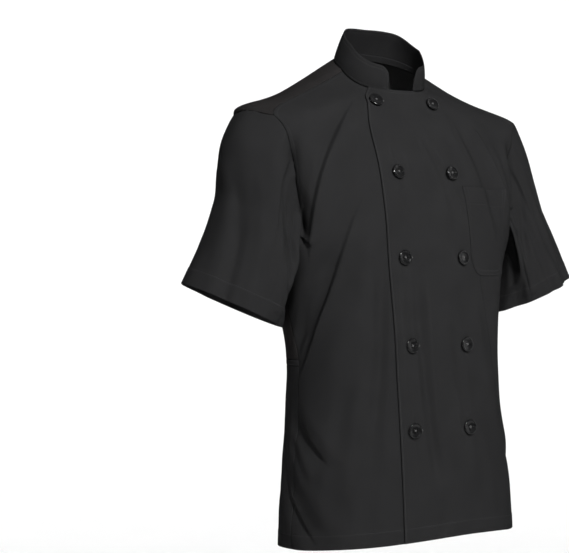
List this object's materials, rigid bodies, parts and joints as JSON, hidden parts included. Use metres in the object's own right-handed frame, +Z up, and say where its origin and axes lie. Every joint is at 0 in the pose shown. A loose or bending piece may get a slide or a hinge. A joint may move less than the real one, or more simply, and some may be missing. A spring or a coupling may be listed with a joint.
{
  "type": "chef jacket",
  "caption": "Short-sleeved double-breasted kitchen jacket in its worn form, hollow, with a standing collar, net upper back, waist band and chest and sleeve pockets.",
  "frame": {"origin": "middle of the neck base, level with the inner shoulder points, where the wearer's shoulders hold the jacket up", "axes": "+Z up towards the collar, -Y the way the front faces, +X the wearer's left"},
  "size_m": [0.635, 0.2702, 0.7145],
  "materials": {
    "twill": "black polyester-cotton twill, soft sheen",
    "net": "matte ribbed net knit with small holes",
    "button": "glossy black, rimmed and dished"
  },
  "bodies": {
    "root": {"front_right": "twill", "front_left": "twill", "back_upper": "net", "waist_band": "twill", "back_lower": "twill", "sleeve_right": "twill", "sleeve_left": "twill", "collar": "twill", "chest_pocket": "twill", "sleeve_pocket": "twill", "button_right_1": "button", "button_left_1": "button", "button_right_2": "button", "button_left_2": "button", "button_right_3": "button", "button_left_3": "button", "button_right_4": "button", "button_left_4": "button", "button_right_5": "button", "button_left_5": "button"}
  },
  "joints": []
}
